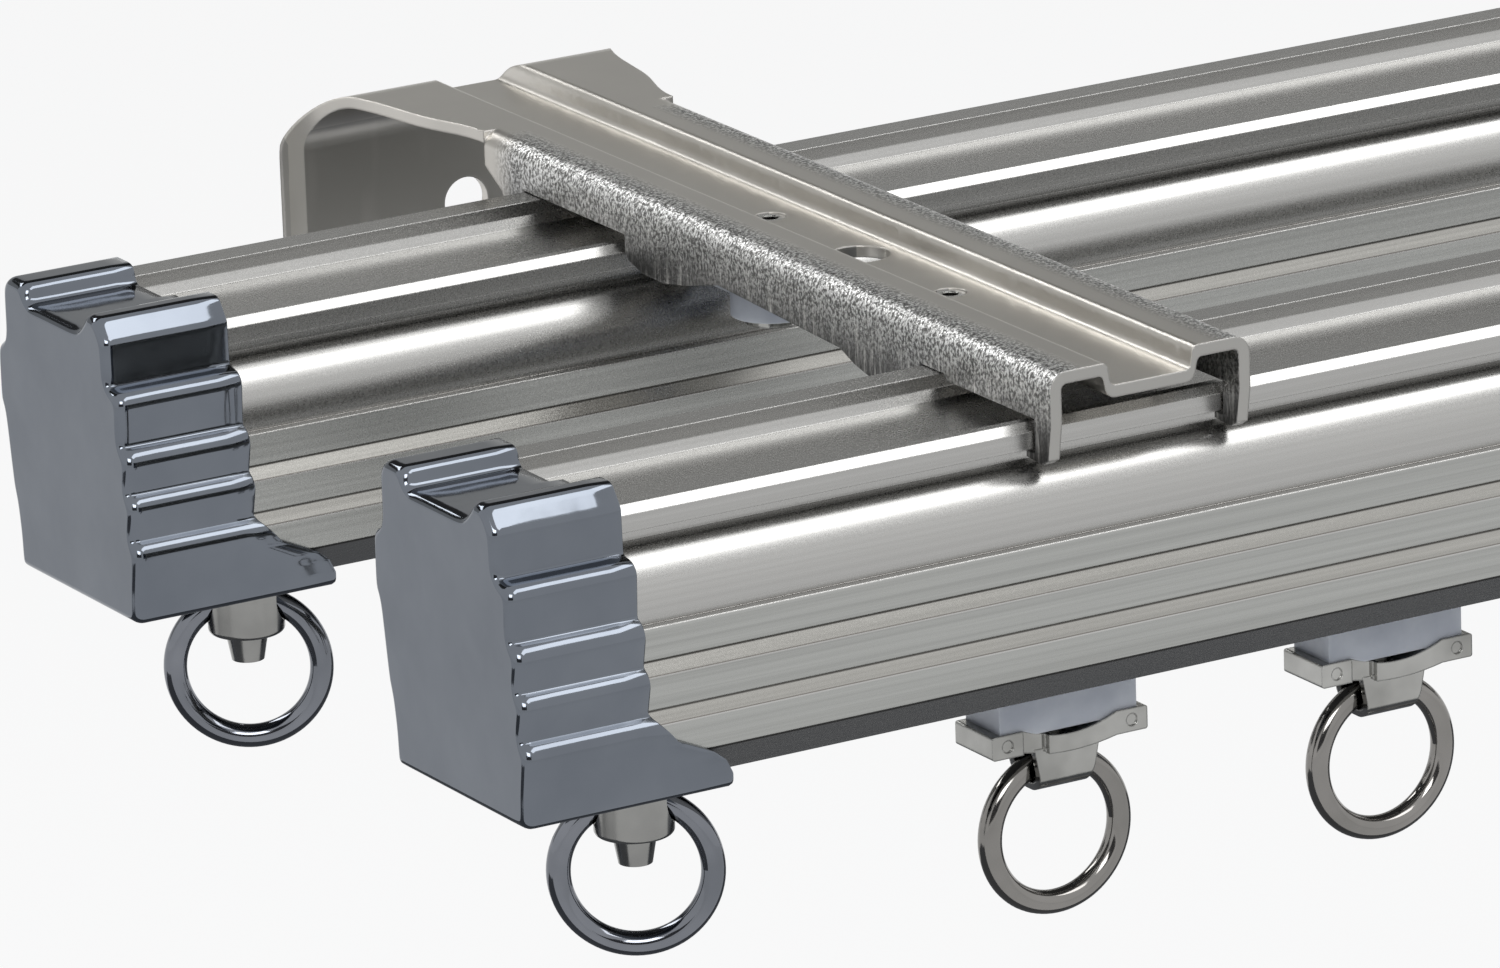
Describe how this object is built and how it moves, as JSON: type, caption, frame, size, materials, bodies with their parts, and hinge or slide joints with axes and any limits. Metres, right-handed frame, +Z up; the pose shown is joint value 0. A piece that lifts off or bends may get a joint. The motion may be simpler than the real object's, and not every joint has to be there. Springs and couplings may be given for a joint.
{
  "type": "double curtain track",
  "caption": "Double aluminium curtain track with fluted end caps, hook-on wall brackets, ringed end posts and wheeled runners that hang curtains.",
  "frame": {"origin": "on the wall face, mid-length, at the height of the wall screws", "axes": "+X along the rails, +Y towards the wall, +Z up; the room side is -Y"},
  "size_m": [0.48, 0.133, 0.0563],
  "materials": {
    "rail": "satin anodised",
    "cap": "satin plated die casting",
    "post": "polished",
    "ring": "polished",
    "runner_ring": "polished",
    "hanger": "bright plated",
    "axle": "bright",
    "wheel": "natural nylon",
    "nylon": "natural nylon",
    "bracket": "nickel plated, with a fine grain on its ridges",
    "rivet": "bright"
  },
  "bodies": {
    "track": {"front_rail": "rail", "front_cap_left": "cap", "front_cap_right": "cap", "rear_rail": "rail", "rear_cap_left": "cap", "rear_cap_right": "cap", "bracket_left": "bracket", "lever_rivets_left": "rivet", "bracket_right": "bracket", "lever_rivets_right": "rivet"},
    "front_post_left": {"front_post_left": "post"},
    "front_cap_ring_left": {"front_cap_ring_left": "ring"},
    "front_post_right": {"front_post_right": "post"},
    "front_cap_ring_right": {"front_cap_ring_right": "ring"},
    "front_runner_1": {"front_runner_body_1": "nylon", "front_hanger_1": "hanger"},
    "front_wheels_1": {"front_runner_axle_1": "axle", "front_wheel_1a": "wheel", "front_wheel_1b": "wheel"},
    "front_runner_ring_1": {"front_runner_ring_1": "runner_ring"},
    "front_runner_2": {"front_runner_body_2": "nylon", "front_hanger_2": "hanger"},
    "front_wheels_2": {"front_runner_axle_2": "axle", "front_wheel_2a": "wheel", "front_wheel_2b": "wheel"},
    "front_runner_ring_2": {"front_runner_ring_2": "runner_ring"},
    "front_runner_3": {"front_runner_body_3": "nylon", "front_hanger_3": "hanger"},
    "front_wheels_3": {"front_runner_axle_3": "axle", "front_wheel_3a": "wheel", "front_wheel_3b": "wheel"},
    "front_runner_ring_3": {"front_runner_ring_3": "runner_ring"},
    "rear_post_left": {"rear_post_left": "post"},
    "rear_cap_ring_left": {"rear_cap_ring_left": "ring"},
    "rear_post_right": {"rear_post_right": "post"},
    "rear_cap_ring_right": {"rear_cap_ring_right": "ring"},
    "rear_runner_1": {"rear_runner_body_1": "nylon", "rear_hanger_1": "hanger"},
    "rear_wheels_1": {"rear_runner_axle_1": "axle", "rear_wheel_1a": "wheel", "rear_wheel_1b": "wheel"},
    "rear_runner_ring_1": {"rear_runner_ring_1": "runner_ring"},
    "rear_runner_2": {"rear_runner_body_2": "nylon", "rear_hanger_2": "hanger"},
    "rear_wheels_2": {"rear_runner_axle_2": "axle", "rear_wheel_2a": "wheel", "rear_wheel_2b": "wheel"},
    "rear_runner_ring_2": {"rear_runner_ring_2": "runner_ring"},
    "rear_runner_3": {"rear_runner_body_3": "nylon", "rear_hanger_3": "hanger"},
    "rear_wheels_3": {"rear_runner_axle_3": "axle", "rear_wheel_3a": "wheel", "rear_wheel_3b": "wheel"},
    "rear_runner_ring_3": {"rear_runner_ring_3": "runner_ring"},
    "front_lever_left": {"front_lever_left": "nylon"},
    "rear_lever_left": {"rear_lever_left": "nylon"},
    "front_lever_right": {"front_lever_right": "nylon"},
    "rear_lever_right": {"rear_lever_right": "nylon"}
  },
  "joints": [
    {"name": "front_post_left_swivel", "type": "hinge", "parent": "track", "child": "front_post_left", "pos_m": [-0.2214, -0.1192, -0.0168], "axis": [0, 0, 1], "continuous": true},
    {"name": "front_cap_ring_left_swing", "type": "hinge", "parent": "front_post_left", "child": "front_cap_ring_left", "pos_m": [-0.2214, -0.1192, -0.0216], "axis": [0.866, -0.5, 0], "range_deg": [-70, 70]},
    {"name": "front_post_right_swivel", "type": "hinge", "parent": "track", "child": "front_post_right", "pos_m": [0.2214, -0.1192, -0.0168], "axis": [0, 0, 1], "continuous": true},
    {"name": "front_cap_ring_right_swing", "type": "hinge", "parent": "front_post_right", "child": "front_cap_ring_right", "pos_m": [0.2214, -0.1192, -0.0216], "axis": [0.866, 0.5, 0], "range_deg": [-70, 70]},
    {"name": "front_runner_1_slide", "type": "slide", "parent": "track", "child": "front_runner_1", "axis": [1, 0, 0], "range_m": [-0.0226, 0.00925]},
    {"name": "front_wheels_1_roll", "type": "hinge", "parent": "front_runner_1", "child": "front_wheels_1", "pos_m": [-0.1764, -0.1192, -0.0112], "axis": [0, 1, 0], "range_deg": [-324.7, 133.5]},
    {"name": "front_runner_ring_1_swing", "type": "hinge", "parent": "front_runner_1", "child": "front_runner_ring_1", "pos_m": [-0.1764, -0.1192, -0.0267], "axis": [1, 0, 0], "range_deg": [-60, 60]},
    {"name": "front_runner_2_slide", "type": "slide", "parent": "track", "child": "front_runner_2", "axis": [1, 0, 0], "range_m": [-0.00925, 0.14095]},
    {"name": "front_wheels_2_roll", "type": "hinge", "parent": "front_runner_2", "child": "front_wheels_2", "pos_m": [-0.1399, -0.1192, -0.0112], "axis": [0, 1, 0], "range_deg": [-133.5, 2020]},
    {"name": "front_runner_ring_2_swing", "type": "hinge", "parent": "front_runner_2", "child": "front_runner_ring_2", "pos_m": [-0.1399, -0.1192, -0.0267], "axis": [1, 0, 0], "range_deg": [-60, 60]},
    {"name": "front_runner_3_slide", "type": "slide", "parent": "track", "child": "front_runner_3", "axis": [1, 0, 0], "range_m": [-0.14095, 0.039]},
    {"name": "front_wheels_3_roll", "type": "hinge", "parent": "front_runner_3", "child": "front_wheels_3", "pos_m": [0.16, -0.1192, -0.0112], "axis": [0, 1, 0], "range_deg": [-2020, 559.6]},
    {"name": "front_runner_ring_3_swing", "type": "hinge", "parent": "front_runner_3", "child": "front_runner_ring_3", "pos_m": [0.16, -0.1192, -0.0267], "axis": [1, 0, 0], "range_deg": [-60, 60]},
    {"name": "rear_post_left_swivel", "type": "hinge", "parent": "track", "child": "rear_post_left", "pos_m": [-0.2214, -0.0442, -0.0168], "axis": [0, 0, 1], "continuous": true},
    {"name": "rear_cap_ring_left_swing", "type": "hinge", "parent": "rear_post_left", "child": "rear_cap_ring_left", "pos_m": [-0.2214, -0.0442, -0.0216], "axis": [0.866, -0.5, 0], "range_deg": [-70, 70]},
    {"name": "rear_post_right_swivel", "type": "hinge", "parent": "track", "child": "rear_post_right", "pos_m": [0.2214, -0.0442, -0.0168], "axis": [0, 0, 1], "continuous": true},
    {"name": "rear_cap_ring_right_swing", "type": "hinge", "parent": "rear_post_right", "child": "rear_cap_ring_right", "pos_m": [0.2214, -0.0442, -0.0216], "axis": [0.866, 0.5, 0], "range_deg": [-70, 70]},
    {"name": "rear_runner_1_slide", "type": "slide", "parent": "track", "child": "rear_runner_1", "axis": [1, 0, 0], "range_m": [-0.0226, 0.00925]},
    {"name": "rear_wheels_1_roll", "type": "hinge", "parent": "rear_runner_1", "child": "rear_wheels_1", "pos_m": [-0.1764, -0.0442, -0.0112], "axis": [0, 1, 0], "range_deg": [-324.7, 133.5]},
    {"name": "rear_runner_ring_1_swing", "type": "hinge", "parent": "rear_runner_1", "child": "rear_runner_ring_1", "pos_m": [-0.1764, -0.0442, -0.0267], "axis": [1, 0, 0], "range_deg": [-60, 60]},
    {"name": "rear_runner_2_slide", "type": "slide", "parent": "track", "child": "rear_runner_2", "axis": [1, 0, 0], "range_m": [-0.00925, 0.14095]},
    {"name": "rear_wheels_2_roll", "type": "hinge", "parent": "rear_runner_2", "child": "rear_wheels_2", "pos_m": [-0.1399, -0.0442, -0.0112], "axis": [0, 1, 0], "range_deg": [-133.5, 2020]},
    {"name": "rear_runner_ring_2_swing", "type": "hinge", "parent": "rear_runner_2", "child": "rear_runner_ring_2", "pos_m": [-0.1399, -0.0442, -0.0267], "axis": [1, 0, 0], "range_deg": [-60, 60]},
    {"name": "rear_runner_3_slide", "type": "slide", "parent": "track", "child": "rear_runner_3", "axis": [1, 0, 0], "range_m": [-0.14095, 0.039]},
    {"name": "rear_wheels_3_roll", "type": "hinge", "parent": "rear_runner_3", "child": "rear_wheels_3", "pos_m": [0.16, -0.0442, -0.0112], "axis": [0, 1, 0], "range_deg": [-2020, 559.6]},
    {"name": "rear_runner_ring_3_swing", "type": "hinge", "parent": "rear_runner_3", "child": "rear_runner_ring_3", "pos_m": [0.16, -0.0442, -0.0267], "axis": [1, 0, 0], "range_deg": [-60, 60]},
    {"name": "front_lever_left_turn", "type": "hinge", "parent": "track", "child": "front_lever_left", "pos_m": [-0.1718, -0.0956, 0.0065], "axis": [0, 0, 1], "range_deg": [0, 90]},
    {"name": "rear_lever_left_turn", "type": "hinge", "parent": "track", "child": "rear_lever_left", "pos_m": [-0.1718, -0.0624, 0.0065], "axis": [0, 0, 1], "range_deg": [0, 90]},
    {"name": "front_lever_right_turn", "type": "hinge", "parent": "track", "child": "front_lever_right", "pos_m": [0.1718, -0.0956, 0.0065], "axis": [0, 0, 1], "range_deg": [0, 90]},
    {"name": "rear_lever_right_turn", "type": "hinge", "parent": "track", "child": "rear_lever_right", "pos_m": [0.1718, -0.0624, 0.0065], "axis": [0, 0, 1], "range_deg": [0, 90]}
  ],
  "couplings": [
    {"joint": "front_wheels_1_roll", "follows": "front_runner_1_slide", "rad_per_m": 250},
    {"joint": "front_wheels_2_roll", "follows": "front_runner_2_slide", "rad_per_m": 250},
    {"joint": "front_wheels_3_roll", "follows": "front_runner_3_slide", "rad_per_m": 250},
    {"joint": "rear_wheels_1_roll", "follows": "rear_runner_1_slide", "rad_per_m": 250},
    {"joint": "rear_wheels_2_roll", "follows": "rear_runner_2_slide", "rad_per_m": 250},
    {"joint": "rear_wheels_3_roll", "follows": "rear_runner_3_slide", "rad_per_m": 250}
  ]
}
